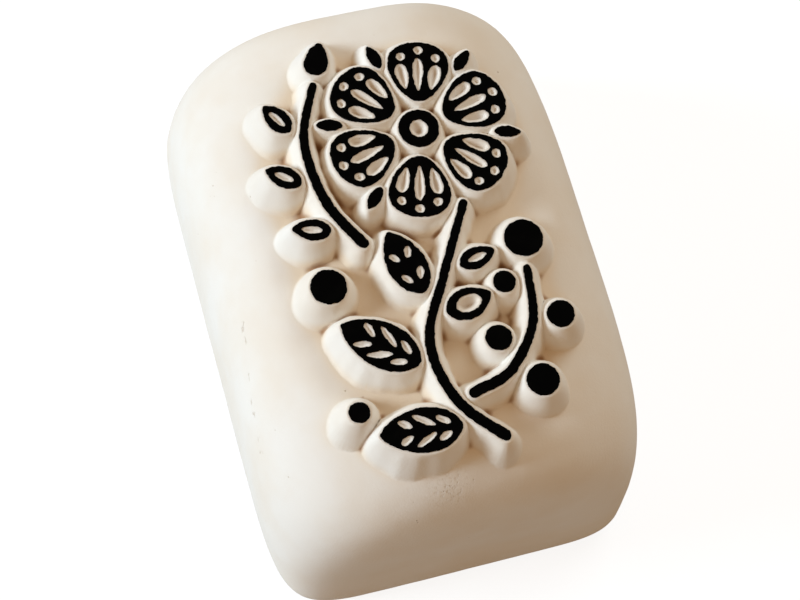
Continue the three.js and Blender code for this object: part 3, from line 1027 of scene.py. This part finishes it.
@dataclass
class InkFilms:
    """The dried films of one group of the motif."""

    group: InkGroup
    lands: list[Land]
    base: float  # height of the printing plane
    thickness: float
    edge_wander: float = 0.09  # how far the ink's edge strays from its outline
    edge_wander_size: float = 0.75
    fringe: float = 0.075  # and the finer fringe on top of that
    fringe_size: float = 0.3
    rim: float = 0.03  # rounding of the film's upper edge
    rim_steps: int = 2
    spacing: float = 0.09

    def wander(self, loop: np.ndarray) -> np.ndarray:
        """Let an edge stray as ink does when a pad leaves it.

        Args:
            loop: The edge, in fine steps.

        Returns:
            The edge with every point moved a little across it.
        """
        along = np.roll(loop, -1, axis=0) - np.roll(loop, 1, axis=0)
        across = np.column_stack([along[:, 1], -along[:, 0]])
        across /= np.linalg.norm(across, axis=1, keepdims=True)
        places = np.column_stack([loop, np.full(len(loop), self.base)])
        stray = self.edge_wander * perlin(places, self.edge_wander_size, NoiseLayer.INK_EDGE)
        stray += self.fringe * perlin(places, self.fringe_size, NoiseLayer.INK_FRINGE)
        return loop + across * (stray - self.rim)[:, None]

    def film(self, land: Land, ink: bpy.types.Material) -> bpy.types.Object:
        """Build the film on one land.

        Args:
            land: The land that it lies on.
            ink: Its material.

        Returns:
            The film, riding in place of its plain solid.
        """
        name = land.name.replace("ink_", "film_", 1)
        shape = bpy.data.curves.new(name, "CURVE")
        shape.dimensions = "2D"
        shape.fill_mode = "BOTH"
        shape.bevel_depth = self.rim * MM
        shape.bevel_resolution = self.rim_steps
        shape.extrude = (self.thickness / 2 - self.rim) * MM
        for loop in (land.outline, *land.windows):
            edge = self.wander(refine(loop, self.spacing))
            spline = shape.splines.new("POLY")
            spline.points.add(len(edge) - 1)
            rows = np.column_stack([edge * MM, np.zeros(len(edge)), np.ones(len(edge))])
            spline.points.foreach_set("co", rows.ravel())
            spline.use_cyclic_u = True
        pattern = link_object(f"{name}_pattern", shape)
        bpy.context.view_layer.update()
        drawn = pattern.evaluated_get(bpy.context.evaluated_depsgraph_get())
        mesh = bpy.data.meshes.new_from_object(drawn)
        bpy.data.objects.remove(pattern)
        mesh.transform(Matrix.Translation((0, 0, (self.base + self.thickness / 2) * MM)))
        mesh.materials.clear()
        mesh.materials.append(ink)
        film = link_object(name, mesh)
        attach(film, BODY)
        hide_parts(land.name)
        return film

    def build(self, ink: bpy.types.Material) -> None:
        """Build the group's films."""
        films = [self.film(land, ink) for land in self.lands if self.group.holds(land.name)]
        LOG.info("%s: %s", self.group.name.lower(), ", ".join(film.name for film in films))


# The studio


def towards(azimuth: float, elevation: float) -> Vector:
    """Direction from the stamp, by degrees: azimuth 0 is before it and 90 on its right."""
    turn, tilt = math.radians(azimuth), math.radians(elevation)
    level = math.cos(tilt)
    return Vector((math.sin(turn) * level, -math.cos(turn) * level, math.sin(tilt)))


@dataclass(frozen=True)
class SoftBox:
    """A soft square light that faces the stamp, in metres and watts."""

    name: str
    azimuth: float
    elevation: float
    power: float
    size: float
    colour: str
    distance: float = 0.8

    def build(self, target: Vector) -> None:
        """Set the light up.

        Args:
            target: The place that it faces.
        """
        away = towards(self.azimuth, self.elevation)
        light = bpy.data.lights.new(self.name, "AREA")
        light.size = self.size
        light.energy = self.power
        light.color = linear(self.colour)[:3]
        lamp = link_object(self.name, light)
        lamp.location = target + away * self.distance
        lamp.rotation_mode = "QUATERNION"
        lamp.rotation_quaternion = away.to_track_quat("Z", "Y")


@dataclass(frozen=True)
class Studio:
    """The camera, the lights, the floor and the light all round."""

    lights: tuple[SoftBox, ...] = (
        SoftBox("key", azimuth=-101.0, elevation=24.0, power=5.75, size=0.3, colour="#DEF0FC"),
        SoftBox("back", azimuth=132.0, elevation=33.0, power=2.1, size=0.5, colour="#F0FEFF"),
    )
    target: tuple[float, float, float] = (0.0, 0.0, 15.0)
    azimuth: float = -30.53
    elevation: float = 67.82
    roll: float = 15.96
    distance: float = 298.51
    lens: float = 104.29
    sensor: float = 36.0
    shift_right: float = -0.0004
    shift_up: float = -0.0189
    clip_start: float = 0.01  # metres
    floor_size: float = 6.0  # metres
    ambient: str = "#FFD2A2"  # the warm light of a room, which fills the shaded sides
    ambient_strength: float = 0.41

    def camera(self) -> None:
        """Set the camera up at the photograph's viewing angle."""
        turn, roll = math.radians(self.azimuth), math.radians(self.roll)
        back = towards(self.azimuth, self.elevation)
        level = Vector((math.cos(turn), math.sin(turn), 0.0))
        upright = back.cross(level)
        right = level * math.cos(roll) + upright * math.sin(roll)
        up = upright * math.cos(roll) - level * math.sin(roll)
        lens = bpy.data.cameras.new("camera")
        lens.lens = self.lens
        lens.sensor_width = self.sensor
        lens.shift_x = self.shift_right
        lens.shift_y = self.shift_up
        lens.clip_start = self.clip_start
        camera = link_object("camera", lens)
        place = Matrix.Translation((Vector(self.target) + back * self.distance) * MM)
        camera.matrix_world = place @ Matrix((right, up, back)).transposed().to_4x4()
        bpy.context.scene.camera = camera

    def floor(self) -> None:
        """Lay the floor that the stamp stands on."""
        half = self.floor_size / 2 / MM
        square = np.array([[-half, -half, 0], [half, -half, 0], [half, half, 0], [-half, half, 0]])
        floor = make_mesh("floor", square, [[0, 1, 2, 3]])
        floor.data.materials.append(PaperFloor().build())

    def surroundings(self) -> None:
        """Fill the world with warm light, and show it to the camera as white."""
        world = bpy.data.worlds.new("studio")
        world.use_nodes = True
        bpy.context.scene.world = world
        tree = NodeTree(world.node_tree)
        fill = tree.add("ShaderNodeBackground", {
            "Color": linear(self.ambient), "Strength": self.ambient_strength,
        })
        white = tree.add("ShaderNodeBackground", {"Color": linear("#FFFFFF")})
        shown = tree.add("ShaderNodeMixShader", {
            0: tree.add("ShaderNodeLightPath").outputs["Is Camera Ray"],
            1: fill.outputs["Background"], 2: white.outputs["Background"],
        })
        tree.add("ShaderNodeOutputWorld", {"Surface": shown.outputs["Shader"]})

    def build(self) -> None:
        """Set the whole studio up."""
        target = Vector(self.target) * MM
        for light in self.lights:
            light.build(target)
        self.camera()
        self.floor()
        self.surroundings()
        LOG.info("studio: camera, %d lights, floor and surroundings", len(self.lights))


def main() -> None:
    """Build the stamp round its frame, then the studio."""
    logging.basicConfig(level=logging.INFO, format="%(name)s: %(message)s")
    bpy.context.scene.view_settings.view_transform = "Standard"
    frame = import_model()
    films = {name: node for name, node in sorted(frame["nodes"].items()) if name.startswith("ink_")}
    lowest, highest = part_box(next(iter(films)))
    lands = []
    for name, node in films.items():
        outline, *windows = trace_loops(node)
        lands.append(Land(name, outline, windows))
    Casting(lands, land_top=lowest.z / MM).build(BisqueCeramic())
    ink = DriedInk().build()
    for group in InkGroup:
        InkFilms(group, lands, base=lowest.z / MM, thickness=(highest.z - lowest.z) / MM).build(ink)
    Studio().build()


if __name__ == "__main__":
    main()
